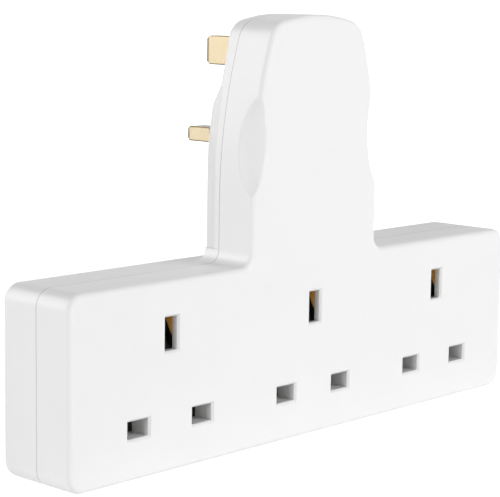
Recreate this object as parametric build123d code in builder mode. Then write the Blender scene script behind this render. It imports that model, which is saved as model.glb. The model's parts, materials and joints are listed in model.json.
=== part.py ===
"""Three-way fused plug adapter: a bar with three shuttered sockets under a stem that carries the plug.

Millimetres. +X runs along the bar to the right as seen from the sockets, +Y points out of the back
along the plug's pins, and +Z is up. The origin is under the middle of the whole adapter, on the
plane that the bar stands on. Depths are measured backwards from the sockets' face.
"""

import os

from build123d import *

# Pin pattern, shared by the plug and the sockets
pin_pitch = 22.22
live_pin_width = 6.4
live_pin_height = 4.0
live_pin_length = 17.7
earth_pin_width = 4.0
earth_pin_height = 8.0
earth_pin_length = 22.7
pin_tip_chamfer = 0.9
pin_edge_radius = 0.4
pin_flange_rim = 1.2
pin_flange_thickness = 2.0
pin_tail_inset = 0.7
sleeve_length = 8.7
sleeve_wall = 0.6

# Bar
bar_width = 175.0
bar_height = 48.4
bar_depth = 25.0
bar_corner_radius = 4.5
front_wall = 2.2
side_wall = 2.2
rear_wall = 2.2
front_edge_radius = 1.6
rear_edge_radius = 2.0

# Stem
stem_width = 50.6
stem_height = 64.5
stem_straight = 16.6
shoulder_width = 35.0
shoulder_radius = 7.0
crown_rise = 2.6
stem_root_radius = 3.3
plug_depth = 18.0
plug_block = 6.0
plug_earth_drop = 10.5
recess_step = 2.0
recess_flare = 1.7
step_start = 7.0
step_rise = 8.6
rim_radius = 1.8
side_bevel_width = 1.5
side_bevel_depth = 5.0
pocket_width = 34.4
pocket_neck_width = 29.0
pocket_corner_radius = 1.2

# Finger scoops on the stem's front edges
scoop_radius = 8.5
scoop_half_height = 18.2
scoop_bite = 4.5
scoop_rise = 33.5
scoop_lead = 1.0
scoop_rim_radius = 0.8

# Sockets
socket_end_margin = 33.5
live_slot_rise = 12.78
earth_slot_width = 4.25
earth_slot_height = 8.6
live_slot_width = 6.95
live_slot_height = 4.5
slot_chamfer = 0.55
tunnel_depth = 6.3
tunnel_wall = 1.2

# Shutters, with their springs and guides
shutter_gap = 0.3
shutter_thickness = 1.5
shutter_width = 30.4
shutter_height = 6.1
shutter_arm_width = 9.2
cam_peak = 1.2
cam_drop = 8.0
spring_wire = 0.45
spring_radius = 1.6
spring_turns = 5
spring_steps = 12
spring_length = 8.6
shelf_thickness = 1.8
shelf_width = 4.4
window_gap = 0.4
guide_wall = 1.5
guide_height = 17.0
keeper_thickness = 1.5

# Contacts and bars of strip brass
spring_strip = 0.6
bar_strip = 0.8
contact_gap = 0.9
contact_width = 5.6
contact_mouth = 6.0
contact_pinch = 3.4
contact_tab = 4.4
earth_leaf_gap = 0.4
earth_contact_length = 16.5
earth_roof_gap = 0.6
live_bar_height = 5.2
live_bar_offset = 6.0
earth_bar_width = 5.0
earth_bar_lead = 2.0
bar_end = 2.8
link_depth = 3.7
link_width = 5.0
neutral_link_offset = 4.0
neutral_link_width = 3.8
line_link_offset = 20.0
bar_rib = 2.0
end_rib_offset = 6.0

# Fuse, its carrier and its clips
fuse_length = 25.4
fuse_diameter = 6.35
fuse_barrel_diameter = 5.75
fuse_cap_length = 6.0
fuse_cap_wall = 0.4
carrier_width = 28.4
carrier_height = 11.4
carrier_depth = 8.8
carrier_face = 1.8
carrier_wall = 1.0
carrier_drop = 9.85
carrier_clearance = 0.2
carrier_tab_width = 8.2
carrier_tab_length = 3.85
carrier_window_width = 7.1
carrier_window_height = 6.7
carrier_rib = 1.4
carrier_rib_offset = 4.9
carrier_mouth = 5.2
fuse_play = 0.1
clip_width = 4.6
clip_offset = 9.7
clip_gap = 0.15
clip_reach = 1.6
clip_lip = 0.5

# Screws
screw_head_radius = 2.6
screw_head_height = 1.9
screw_shank_radius = 1.5
screw_clearance = 0.05
screw_head_clearance = 0.25
screw_lobe_radius = 0.5
screw_lobe_offset = 0.9
screw_lobe_depth = 1.0
screw_tip_depth = 4.5
boss_radius = 4.0
boss_gap = 0.5
bar_screw_end_margin = 7.5
bar_screw_drop = 8.0
bar_screw_sink = 1.2
stem_screw_spacing = 22.0
stem_screw_rise = 17.0
stem_screw_sink = 0.5
stem_boss_radius = 3.0

# Places worked out from the sizes above
front_y = -(plug_depth + earth_pin_length) / 2
socket_pitch = bar_width / 2 - socket_end_margin
stem_top_z = bar_height + stem_height
parting_depth = plug_depth - plug_block
live_slot_z = live_slot_rise
earth_slot_z = live_slot_z + pin_pitch
plug_earth_z = stem_top_z - plug_earth_drop
plug_live_z = plug_earth_z - pin_pitch
recess_depth = plug_depth - recess_step
cavity_end = bar_depth - rear_wall
shutter_front = tunnel_depth + shutter_gap
shutter_back = shutter_front + shutter_thickness
cam_front = front_wall + shutter_gap
live_web_depth = live_pin_length + contact_gap
live_bar_depth = live_web_depth + spring_strip
link_back = link_depth + bar_strip
fuse_depth = plug_depth - carrier_face - carrier_clearance - fuse_diameter / 2
fuse_z = plug_live_z - carrier_drop
clip_base_depth = fuse_depth - fuse_diameter / 2 - clip_gap - spring_strip
strap_depth = clip_base_depth - spring_strip
pocket_top_z = plug_earth_z + earth_pin_height / 2 + pin_flange_rim
earth_roof_z = earth_slot_z + earth_pin_height / 2 + earth_roof_gap
earth_bar_z = earth_roof_z + spring_strip
earth_bar_depth = parting_depth - earth_bar_lead
bar_screw_z = earth_slot_z - bar_screw_drop
stem_screw_z = plug_live_z + stem_screw_rise

sockets = {"left": -socket_pitch, "middle": 0.0, "right": socket_pitch}
earth_spots = [(x, earth_slot_z) for x in sockets.values()]
line_spots = [(x + pin_pitch / 2, live_slot_z) for x in sockets.values()]
neutral_spots = [(x - pin_pitch / 2, live_slot_z) for x in sockets.values()]
live_spots = line_spots + neutral_spots
bar_rib_inset = line_link_offset + link_width / 2 + boss_gap + boss_radius
end_rib_inset = socket_pitch + end_rib_offset
bar_screw_inset = bar_width / 2 - bar_screw_end_margin
rib_insets = (-end_rib_inset, -bar_rib_inset, bar_rib_inset, end_rib_inset)
bar_screw_insets = (-bar_screw_inset, -bar_rib_inset, bar_rib_inset, bar_screw_inset)
bar_screw_spots = [(x, bar_screw_z) for x in bar_screw_insets]
stem_screw_spots = [(side * stem_screw_spacing / 2, stem_screw_z) for side in (-1, 1)]

os.makedirs("parts", exist_ok=True)


def layer(depth):
    """The upright plane this deep behind the sockets' face; its normal points out of the front."""
    return Plane.XZ.offset(-(front_y + depth))


def save(builder, name):
    """Label a finished piece and write it."""
    builder.part.label = name
    export_step(builder.part, f"parts/{name}.step")


# Outline of the housing as seen from the front: the bar with the stem growing out of its top edge
with BuildSketch() as outline:
    with Locations((0, bar_height / 2)):
        RectangleRounded(bar_width, bar_height, bar_corner_radius)
    with BuildLine():
        flank_start = (stem_width / 2, bar_height + stem_straight)
        shoulder = (shoulder_width / 2, stem_top_z - crown_rise)
        Polyline((0, bar_height / 2), (stem_width / 2, bar_height / 2), flank_start)
        TangentArc(flank_start, shoulder, tangent=(0, 1))
        ThreePointArc(shoulder, (0, stem_top_z), (-shoulder[0], shoulder[1]))
        TangentArc((-flank_start[0], flank_start[1]), (-shoulder[0], shoulder[1]), tangent=(0, 1))
        Polyline((-flank_start[0], flank_start[1]), (-stem_width / 2, bar_height / 2), (0, bar_height / 2))
    make_face()
    roots = outline.vertices().group_by(lambda v: round(abs(v.Y - bar_height), 3))[0]
    fillet(roots.sort_by(lambda v: abs(v.X))[:2], stem_root_radius)
    shoulders = outline.vertices().group_by(lambda v: round(abs(v.Y - shoulder[1]), 3))[0]
    fillet(shoulders, shoulder_radius)

# Hollow of the bar, and the channel up the stem
with BuildSketch() as bar_hollow:
    with Locations((0, bar_height / 2)):
        RectangleRounded(
            bar_width - 2 * side_wall, bar_height - 2 * side_wall, bar_corner_radius - side_wall
        )
with BuildSketch() as stem_hollow:
    channel_foot = bar_height / 2
    channel_shoulder = plug_live_z + live_pin_height / 2 + pin_flange_rim
    with Locations((0, channel_foot)):
        Rectangle(pocket_width, channel_shoulder - channel_foot, align=(Align.CENTER, Align.MIN))
        Rectangle(pocket_neck_width, pocket_top_z - channel_foot, align=(Align.CENTER, Align.MIN))
    upper = stem_hollow.vertices().filter_by_position(Axis.Y, channel_shoulder - 1, pocket_top_z + 1)
    fillet(upper, pocket_corner_radius)

# Front cover: face, slots and tunnels, finger scoops, guides for the shutters and screw bosses
with BuildPart() as front_cover:
    with BuildSketch(layer(parting_depth)):
        add(outline.sketch)
    extrude(amount=parting_depth)
    fillet(front_cover.faces().sort_by(Axis.Y)[0].edges(), front_edge_radius)
    scoop_x = stem_width / 2 - scoop_bite + scoop_radius
    for side in (-1, 1):
        with BuildSketch(layer(-scoop_lead)):
            with Locations((side * scoop_x, bar_height + scoop_rise)):
                Ellipse(scoop_radius, scoop_half_height)
                Rectangle(
                    2 * scoop_radius, 2 * scoop_half_height,
                    align=(Align.MIN, Align.CENTER), mode=Mode.INTERSECT,
                )
        revolve(axis=Axis((side * scoop_x, front_y - scoop_lead, 0), (0, 0, 1)), mode=Mode.SUBTRACT)
        fillet(front_cover.edges(Select.LAST), scoop_rim_radius)
    with BuildSketch(layer(parting_depth)):
        add(bar_hollow.sketch)
        add(stem_hollow.sketch)
    extrude(amount=parting_depth - front_wall, mode=Mode.SUBTRACT)
    with BuildSketch(layer(tunnel_depth)):
        with Locations(*live_spots):
            Rectangle(live_slot_width + 2 * tunnel_wall, live_slot_height + 2 * tunnel_wall)
    extrude(amount=tunnel_depth - front_wall)
    with BuildSketch(layer(tunnel_depth)):
        with Locations(*live_spots):
            Rectangle(live_slot_width, live_slot_height)
    extrude(amount=tunnel_depth, mode=Mode.SUBTRACT)
    with BuildSketch(layer(front_wall)):
        with Locations(*earth_spots):
            Rectangle(earth_slot_width, earth_slot_height)
    extrude(amount=front_wall, mode=Mode.SUBTRACT)
    face = front_cover.faces().sort_by(Axis.Y)[0]
    chamfer([edge for wire in face.inner_wires() for edge in wire.edges()], slot_chamfer)
    guide_x = shutter_width / 2 + shutter_gap + guide_wall / 2
    with BuildSketch(layer(shutter_back)):
        with Locations(*[(x + side * guide_x, side_wall) for x in sockets.values() for side in (-1, 1)]):
            Rectangle(guide_wall, guide_height, align=(Align.CENTER, Align.MIN))
    extrude(amount=shutter_back - front_wall)
    shelf_z = earth_slot_z - cam_drop - spring_length
    with BuildSketch(layer(shutter_back)):
        with Locations(*[(x, shelf_z) for x in sockets.values()]):
            Rectangle(shelf_width, shelf_thickness, align=(Align.CENTER, Align.MAX))
    extrude(amount=shutter_back - front_wall)
    with BuildSketch(layer(strap_depth)):
        with Locations((-clip_offset, fuse_z), (clip_offset, fuse_z)):
            Rectangle(clip_width - 2 * spring_strip, fuse_diameter)
    extrude(amount=strap_depth - front_wall)
    with BuildSketch(layer(parting_depth)):
        with Locations(*bar_screw_spots):
            Circle(boss_radius)
        with Locations(*stem_screw_spots):
            Circle(stem_boss_radius)
    extrude(amount=parting_depth - front_wall)
    with BuildSketch(layer(parting_depth)):
        with Locations(*bar_screw_spots, *stem_screw_spots):
            Circle(screw_shank_radius + screw_clearance)
    extrude(amount=parting_depth - screw_tip_depth, mode=Mode.SUBTRACT)
save(front_cover, "front_cover")

# Rear cover: the bar's back, the lower plug face, the step up to the recess round the earth pin
with BuildPart() as bar_back:
    with BuildSketch(layer(bar_depth)):
        with Locations((0, bar_height / 2)):
            RectangleRounded(bar_width, bar_height, bar_corner_radius)
    extrude(amount=bar_depth - parting_depth)
    fillet(bar_back.faces().sort_by(Axis.Y)[-1].edges(), rear_edge_radius)
with BuildPart() as rear_cover:
    with BuildSketch(layer(plug_depth)):
        add(outline.sketch)
    extrude(amount=plug_depth - parting_depth)
    with BuildSketch(Plane.YZ):
        with BuildLine():
            step_low = (front_y + plug_depth, plug_live_z + step_start)
            step_high = (front_y + recess_depth, plug_live_z + step_start + step_rise)
            step_mid = ((step_low[0] + step_high[0]) / 2, (step_low[1] + step_high[1]) / 2)
            TangentArc(step_low, step_mid, tangent=(0, 1))
            TangentArc(step_high, step_mid, tangent=(0, -1))
            crown = (step_high[0] + recess_flare, stem_top_z)
            TangentArc(step_high, crown, tangent=(0, 1))
            Polyline(
                crown, (crown[0] + recess_step, stem_top_z), (crown[0] + recess_step, step_low[1]), step_low
            )
        make_face()
    extrude(amount=stem_width / 2, both=True, mode=Mode.SUBTRACT)
    rim = rear_cover.edges().filter_by_position(Axis.Z, step_mid[1], stem_top_z)
    rim = rim.filter_by_position(Axis.Y, step_high[0], step_low[0])
    fillet(rim.filter_by(GeomType.LINE, reverse=True).sort_by(Axis.Z), rim_radius)
    with BuildSketch(Plane.XY.offset(bar_height + stem_root_radius)):
        for side in (-1, 1):
            with BuildLine():
                flank_x = side * stem_width / 2
                face_x = side * (stem_width / 2 - side_bevel_width)
                bevel_y = front_y + plug_depth - side_bevel_depth
                plug_y = front_y + plug_depth
                Polyline((flank_x, bevel_y), (flank_x, plug_y), (face_x, plug_y), close=True)
            make_face()
    bevel_top_z = plug_live_z + step_start + step_rise
    extrude(amount=bevel_top_z - bar_height - stem_root_radius, mode=Mode.SUBTRACT)
    add(bar_back.part)
    with BuildSketch(layer(cavity_end)):
        add(bar_hollow.sketch)
    extrude(amount=cavity_end - parting_depth, mode=Mode.SUBTRACT)
    with BuildSketch(layer(plug_depth)):
        with Locations((0, plug_earth_z)):
            RectangleRounded(earth_pin_width, earth_pin_height, pin_edge_radius)
        with Locations((-pin_pitch / 2, plug_live_z), (pin_pitch / 2, plug_live_z)):
            RectangleRounded(live_pin_width, live_pin_height, pin_edge_radius)
        with Locations((0, fuse_z)):
            Rectangle(carrier_width + 2 * carrier_clearance, carrier_height + 2 * carrier_clearance)
    extrude(amount=plug_depth - parting_depth, mode=Mode.SUBTRACT)
    with BuildSketch(layer(plug_depth)):
        with Locations((0, fuse_z - carrier_height / 2)):
            Rectangle(
                carrier_tab_width + 2 * carrier_clearance, carrier_tab_length + carrier_clearance,
                align=(Align.CENTER, Align.MAX),
            )
    extrude(amount=carrier_face + carrier_clearance, mode=Mode.SUBTRACT)
    keeper_z = shelf_z + spring_length / 2
    with BuildSketch(layer(cavity_end)):
        with Locations(*bar_screw_spots):
            Circle(boss_radius)
    extrude(amount=cavity_end - parting_depth)
    with BuildSketch(layer(cavity_end)):
        with Locations(*[(x, keeper_z) for x in sockets.values()]):
            Rectangle(shutter_arm_width, keeper_thickness)
    extrude(amount=cavity_end - shutter_back - shutter_gap)
    with BuildSketch(layer(cavity_end)):
        with Locations(*[(x, live_slot_z) for x in rib_insets]):
            Rectangle(bar_rib, 2 * live_bar_offset + live_bar_height)
    extrude(amount=cavity_end - live_bar_depth - bar_strip)
    with BuildSketch(layer(cavity_end)):
        with Locations((-bar_rib_inset, earth_bar_z), (bar_rib_inset, earth_bar_z)):
            Rectangle(bar_rib, 2 * bar_rib)
    extrude(amount=cavity_end - earth_bar_depth - earth_bar_width)
    with BuildSketch(layer(bar_depth)):
        with Locations(*bar_screw_spots):
            Circle(screw_head_radius + screw_head_clearance)
    extrude(amount=bar_screw_sink + screw_head_height, mode=Mode.SUBTRACT)
    with BuildSketch(layer(plug_depth)):
        with Locations(*stem_screw_spots):
            Circle(screw_head_radius + screw_head_clearance)
    extrude(amount=recess_step + stem_screw_sink + screw_head_height, mode=Mode.SUBTRACT)
    with BuildSketch(layer(bar_depth)):
        with Locations(*bar_screw_spots, *stem_screw_spots):
            Circle(screw_shank_radius + screw_clearance)
    extrude(amount=bar_depth - parting_depth, mode=Mode.SUBTRACT)
save(rear_cover, "rear_cover")


def make_pin(name, spot, width, height, length, tail_end, neck_length):
    """A solid pin with a flange inside the rear cover, a tail for its link and a neck for a sleeve."""
    with BuildPart() as pin:
        with BuildSketch(layer(plug_depth + length)):
            with Locations(spot):
                Rectangle(width, height)
        extrude(amount=length + plug_depth - parting_depth)
        chamfer(pin.faces().sort_by(Axis.Y)[-1].edges(), pin_tip_chamfer)
        fillet(pin.edges().filter_by(Axis.Y), pin_edge_radius)
        with BuildSketch(layer(parting_depth)):
            with Locations(spot):
                Rectangle(width + 2 * pin_flange_rim, height + 2 * pin_flange_rim)
        extrude(amount=pin_flange_thickness)
        with BuildSketch(layer(parting_depth)):
            with Locations(spot):
                Rectangle(width - 2 * pin_tail_inset, height - 2 * pin_tail_inset)
        extrude(amount=parting_depth - tail_end)
        if neck_length > 0:
            with BuildSketch(layer(plug_depth + neck_length)):
                with Locations(spot):
                    Rectangle(width, height)
                    Rectangle(width - 2 * sleeve_wall, height - 2 * sleeve_wall, mode=Mode.SUBTRACT)
            extrude(amount=neck_length, mode=Mode.SUBTRACT)
    save(pin, name)


make_pin(
    "earth_pin", (0, plug_earth_z), earth_pin_width, earth_pin_height, earth_pin_length, link_back, 0
)
make_pin(
    "neutral_pin", (-pin_pitch / 2, plug_live_z), live_pin_width, live_pin_height, live_pin_length,
    link_back, sleeve_length,
)
make_pin(
    "line_pin", (pin_pitch / 2, plug_live_z), live_pin_width, live_pin_height, live_pin_length,
    clip_base_depth, sleeve_length,
)

# Insulating sleeves moulded round the necks of the line and neutral pins
for name, side in (("neutral_sleeve", -1), ("line_sleeve", 1)):
    with BuildPart() as sleeve:
        with BuildSketch(layer(plug_depth + sleeve_length)):
            with Locations((side * pin_pitch / 2, plug_live_z)):
                RectangleRounded(live_pin_width, live_pin_height, pin_edge_radius)
                Rectangle(
                    live_pin_width - 2 * sleeve_wall, live_pin_height - 2 * sleeve_wall, mode=Mode.SUBTRACT
                )
        extrude(amount=sleeve_length)
    save(sleeve, name)

# Shutters: a plate across the line and neutral tunnels, pulled down by a cam behind the earth slot
for name, x in sockets.items():
    plate_z = live_slot_z + live_slot_height / 2 + shutter_gap
    with BuildPart() as shutter:
        with BuildSketch(layer(shutter_back)):
            with Locations((x, plate_z)):
                Rectangle(shutter_width, shutter_height, align=(Align.CENTER, Align.MAX))
            with Locations((x, plate_z - shutter_height)):
                Rectangle(
                    shutter_arm_width, earth_slot_z - earth_slot_height / 2 - plate_z + shutter_height,
                    align=(Align.CENTER, Align.MIN),
                )
            with Locations((x, earth_slot_z - cam_drop)):
                Rectangle(
                    shelf_width + 2 * window_gap, spring_length + shelf_thickness + window_gap,
                    align=(Align.CENTER, Align.MAX), mode=Mode.SUBTRACT,
                )
        extrude(amount=shutter_thickness)
        with BuildSketch(Plane.YZ.offset(x)):
            with BuildLine():
                cam_y = front_y + cam_front
                back_y = front_y + shutter_back
                Polyline(
                    (cam_y, earth_slot_z - cam_drop), (back_y, earth_slot_z - cam_drop),
                    (back_y, earth_slot_z + cam_peak),
                    (cam_y, earth_slot_z - earth_slot_height / 2 - shutter_gap), close=True,
                )
            make_face()
        extrude(amount=shutter_arm_width / 2, both=True)
    save(shutter, f"shutter_{name}")

# Return springs, standing on the front cover's shelves under the shutters' cams
for name, x in sockets.items():
    coil_height = spring_length - spring_wire
    coil_y = front_y + (cam_front + shutter_back) / 2
    coil_steps = spring_turns * spring_steps
    coil_points = [
        Vector(spring_radius, 0).rotate(Axis.Z, 360 * step / spring_steps)
        + Vector(x, coil_y, shelf_z + (spring_wire + coil_height * 2 * step / coil_steps) / 2)
        for step in range(coil_steps + 1)
    ]
    with BuildPart() as spring:
        with BuildLine() as coil:
            Polyline(*coil_points)
        with BuildSketch(Plane(coil.line @ 0, z_dir=coil.line % 0)):
            RegularPolygon(spring_wire / 2, 6)
        sweep(path=coil.line, transition=Transition.RIGHT)
    save(spring, f"shutter_spring_{name}")


def make_live_contact(name, spot, tab_side):
    """A folded contact that pinches a line or neutral pin, with a tab to the bar on one side of it."""
    x, z = spot
    mouth_y = front_y + shutter_back + contact_gap
    web_y = front_y + live_web_depth
    pinch_y = mouth_y + contact_pinch
    with BuildPart() as contact:
        with BuildSketch(Plane.YZ.offset(x)):
            with BuildLine():
                Polyline(
                    (mouth_y, z + contact_mouth / 2), (pinch_y, z + contact_pinch / 2),
                    (web_y, z + live_pin_height / 2 + spring_strip),
                    (web_y, z - live_pin_height / 2 - spring_strip),
                    (pinch_y, z - contact_pinch / 2), (mouth_y, z - contact_mouth / 2),
                )
                offset(amount=spring_strip, side=Side.LEFT)
            make_face()
        extrude(amount=contact_width / 2, both=True)
        with BuildSketch(layer(live_bar_depth)):
            with Locations((x, z + tab_side * live_pin_height / 2)):
                Rectangle(
                    contact_width, contact_tab,
                    align=(Align.CENTER, Align.MIN if tab_side > 0 else Align.MAX),
                )
        extrude(amount=spring_strip)
    save(contact, name)


for name, spot in zip(sockets, line_spots):
    make_live_contact(f"line_contact_{name}", spot, -1)
for name, spot in zip(sockets, neutral_spots):
    make_live_contact(f"neutral_contact_{name}", spot, 1)

# Earth contacts: a roof over the pin with a leaf down each side of it, cut clear of the shutter's cam
for name, x in sockets.items():
    leaf_x = earth_pin_width / 2
    leaf_low_z = earth_slot_z - earth_slot_height / 2
    with BuildPart() as contact:
        with BuildSketch(layer(cam_front + earth_contact_length)):
            with BuildLine():
                Polyline(
                    (x - leaf_x, leaf_low_z), (x - leaf_x, earth_roof_z),
                    (x + leaf_x, earth_roof_z), (x + leaf_x, leaf_low_z),
                )
                offset(amount=spring_strip, side=Side.LEFT)
            make_face()
        extrude(amount=earth_contact_length)
        with BuildSketch(Plane.YZ.offset(x)):
            with BuildLine():
                end_y = front_y + cam_front + earth_contact_length
                Polyline(
                    (cam_y, leaf_low_z), (cam_y, leaf_low_z + earth_leaf_gap),
                    (back_y, earth_slot_z + cam_peak + earth_leaf_gap),
                    (end_y, earth_slot_z + cam_peak + earth_leaf_gap), (end_y, leaf_low_z), close=True,
                )
            make_face()
        extrude(amount=earth_pin_width, both=True, mode=Mode.SUBTRACT)
    save(contact, f"earth_contact_{name}")

# Bars that join the three contacts of each pole
for name, spots, side in (("line_bar", line_spots, -1), ("neutral_bar", neutral_spots, 1)):
    with BuildPart() as live_bar:
        with BuildSketch(layer(live_bar_depth + bar_strip)):
            with Locations((spots[1][0], live_slot_z + side * live_bar_offset)):
                Rectangle(2 * socket_pitch + 2 * bar_end, live_bar_height)
        extrude(amount=bar_strip)
    save(live_bar, name)
with BuildPart() as earth_bar:
    with BuildSketch(layer(earth_bar_depth + earth_bar_width)):
        with Locations((0, earth_bar_z)):
            Rectangle(2 * socket_pitch + 2 * bar_end, bar_strip, align=(Align.CENTER, Align.MIN))
    extrude(amount=earth_bar_width)
save(earth_bar, "earth_bar")

# Earth link: down the stem from the earth pin, then back over the earth bar
with BuildPart() as earth_link:
    foot_z = earth_bar_z + bar_strip
    with BuildSketch(layer(link_back)):
        with Locations((0, foot_z)):
            Rectangle(
                link_width, plug_earth_z + earth_pin_height / 2 - foot_z, align=(Align.CENTER, Align.MIN)
            )
    extrude(amount=bar_strip)
    with BuildSketch(layer(parting_depth)):
        with Locations((0, foot_z)):
            Rectangle(link_width, bar_strip, align=(Align.CENTER, Align.MIN))
    extrude(amount=parting_depth - link_depth)
save(earth_link, "earth_link")

# Neutral link: beside the fuse, down to the neutral bar
with BuildPart() as neutral_link:
    link_x = -pin_pitch / 2 - neutral_link_offset
    foot_z = live_slot_z + live_bar_offset + live_bar_height / 2
    with BuildSketch(layer(link_back)):
        with Locations((link_x - neutral_link_width / 2, plug_live_z)):
            Rectangle(
                neutral_link_offset + neutral_link_width / 2 + live_pin_width / 2, live_pin_height,
                align=(Align.MIN, Align.CENTER),
            )
        with Locations((link_x, foot_z)):
            Rectangle(neutral_link_width, plug_live_z - foot_z, align=(Align.CENTER, Align.MIN))
    extrude(amount=bar_strip)
    with BuildSketch(layer(live_bar_depth)):
        with Locations((link_x, foot_z)):
            Rectangle(neutral_link_width, bar_strip, align=(Align.CENTER, Align.MAX))
    extrude(amount=live_bar_depth - link_depth)
save(neutral_link, "neutral_link")

# Line strap from the line pin to its fuse clip, and the link from the other clip to the line bar
with BuildPart() as line_strap:
    with BuildSketch(layer(clip_base_depth)):
        with Locations((pin_pitch / 2, fuse_z - fuse_diameter / 2)):
            Rectangle(
                link_width, plug_live_z + live_pin_height / 2 - fuse_z + fuse_diameter / 2,
                align=(Align.CENTER, Align.MIN),
            )
    extrude(amount=spring_strip)
save(line_strap, "line_strap")
with BuildPart() as line_link:
    turn_z = earth_bar_z + bar_strip
    foot_z = live_slot_z - live_bar_offset
    with BuildSketch(layer(clip_base_depth)):
        with Locations((-clip_offset, fuse_z + fuse_diameter / 2)):
            Rectangle(
                link_width, fuse_z + fuse_diameter / 2 - turn_z + link_width,
                align=(Align.CENTER, Align.MAX),
            )
        with Locations((-clip_offset + link_width / 2, turn_z)):
            Rectangle(
                line_link_offset - clip_offset + link_width, link_width, align=(Align.MAX, Align.MAX)
            )
        with Locations((-line_link_offset, turn_z)):
            Rectangle(link_width, turn_z - foot_z, align=(Align.CENTER, Align.MAX))
    extrude(amount=spring_strip)
    with BuildSketch(layer(live_bar_depth)):
        with Locations((-line_link_offset, foot_z)):
            Rectangle(link_width, bar_strip, align=(Align.CENTER, Align.MIN))
    extrude(amount=live_bar_depth - strap_depth)
save(line_link, "line_link")

# Fuse clips, open to the back so that the fuse comes out with its carrier
for name, side in (("fuse_clip_line", 1), ("fuse_clip_load", -1)):
    half_gap = fuse_diameter / 2 + clip_gap
    base_y = front_y + clip_base_depth + spring_strip
    grip_y = front_y + fuse_depth + clip_reach
    with BuildPart() as clip:
        with BuildSketch(Plane.YZ.offset(side * clip_offset)):
            with BuildLine():
                Polyline(
                    (grip_y + 2 * clip_lip, fuse_z + half_gap + clip_lip), (grip_y, fuse_z + half_gap),
                    (base_y, fuse_z + half_gap), (base_y, fuse_z - half_gap),
                    (grip_y, fuse_z - half_gap), (grip_y + 2 * clip_lip, fuse_z - half_gap - clip_lip),
                )
                offset(amount=spring_strip, side=Side.RIGHT)
            make_face()
        extrude(amount=clip_width / 2, both=True)
    save(clip, name)

# Cartridge fuse: a ceramic barrel in two metal caps, lying along the bar
fuse_axis = Axis((0, front_y + fuse_depth, fuse_z), (1, 0, 0))
with BuildPart() as fuse_barrel:
    with BuildSketch(layer(fuse_depth)):
        with Locations((0, fuse_z)):
            Rectangle(
                fuse_length - 2 * fuse_cap_wall, fuse_barrel_diameter / 2, align=(Align.CENTER, Align.MIN)
            )
    revolve(axis=fuse_axis)
save(fuse_barrel, "fuse_barrel")
for name, side in (("fuse_cap_line", 1), ("fuse_cap_load", -1)):
    end_align = Align.MAX if side > 0 else Align.MIN
    with BuildPart() as cap:
        with BuildSketch(layer(fuse_depth)):
            with Locations((side * fuse_length / 2, fuse_z)):
                Rectangle(fuse_cap_length, fuse_diameter / 2, align=(end_align, Align.MIN))
            with Locations((side * (fuse_length / 2 - fuse_cap_wall), fuse_z)):
                Rectangle(
                    fuse_cap_length, fuse_barrel_diameter / 2,
                    align=(end_align, Align.MIN), mode=Mode.SUBTRACT,
                )
        revolve(axis=fuse_axis)
    save(cap, name)

# Fuse carrier: a tray with a sight window, two ribs that clasp the barrel and a tab to pull it by
with BuildPart() as fuse_carrier:
    fuse_room = fuse_length + 2 * fuse_play
    with BuildSketch(layer(plug_depth)):
        with Locations((0, fuse_z)):
            Rectangle(carrier_width, carrier_height)
    extrude(amount=carrier_depth)
    with BuildSketch(layer(plug_depth - carrier_face)):
        with Locations((0, fuse_z)):
            Rectangle(fuse_room, carrier_height - 2 * carrier_wall)
    extrude(amount=carrier_depth - carrier_face, mode=Mode.SUBTRACT)
    with BuildSketch(layer(plug_depth)):
        with Locations((0, fuse_z - carrier_height / 2)):
            Rectangle(carrier_tab_width, carrier_tab_length, align=(Align.CENTER, Align.MAX))
    extrude(amount=carrier_face)
    with BuildSketch(layer(plug_depth - carrier_face)):
        with Locations((-carrier_rib_offset, fuse_z), (carrier_rib_offset, fuse_z)):
            Rectangle(carrier_rib, carrier_height - 2 * carrier_wall)
    extrude(amount=carrier_depth - carrier_face)
    with BuildSketch(Plane.YZ):
        with Locations((front_y + fuse_depth, fuse_z)):
            Circle(fuse_barrel_diameter / 2 + fuse_play)
            Rectangle(carrier_depth, carrier_mouth, align=(Align.MAX, Align.CENTER))
    extrude(amount=fuse_room / 2, both=True, mode=Mode.SUBTRACT)
    with BuildSketch(layer(plug_depth)):
        with Locations((0, fuse_z)):
            Rectangle(carrier_window_width, carrier_window_height)
    extrude(amount=carrier_face, mode=Mode.SUBTRACT)
save(fuse_carrier, "fuse_carrier")


def make_screws(name, spots, head_depth):
    """A group of like screws with three-lobed heads, whose tops lie at this depth."""
    with BuildPart() as screws:
        with BuildSketch(layer(head_depth)):
            with Locations(*spots):
                Circle(screw_head_radius)
        extrude(amount=screw_head_height)
        with BuildSketch(layer(head_depth - screw_head_height)):
            with Locations(*spots):
                Circle(screw_shank_radius)
        extrude(amount=head_depth - screw_head_height - screw_tip_depth)
        with BuildSketch(layer(head_depth)):
            with Locations(*spots):
                with PolarLocations(screw_lobe_offset, 3):
                    Circle(screw_lobe_radius)
        extrude(amount=screw_lobe_depth, mode=Mode.SUBTRACT)
    save(screws, name)


make_screws("bar_screws", bar_screw_spots, bar_depth - bar_screw_sink)
make_screws("stem_screws", stem_screw_spots, recess_depth - stem_screw_sink)
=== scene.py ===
"""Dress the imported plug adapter.

It gets its finishes, finer screws, pin tips and coil springs, and stands in a pale studio with the
photograph's camera.
"""

import json
import logging
import math
from dataclasses import dataclass, field
from enum import Enum
from typing import Any, ClassVar, Mapping, Sequence

import bmesh
import bpy
from mathutils import Matrix, Vector


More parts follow.
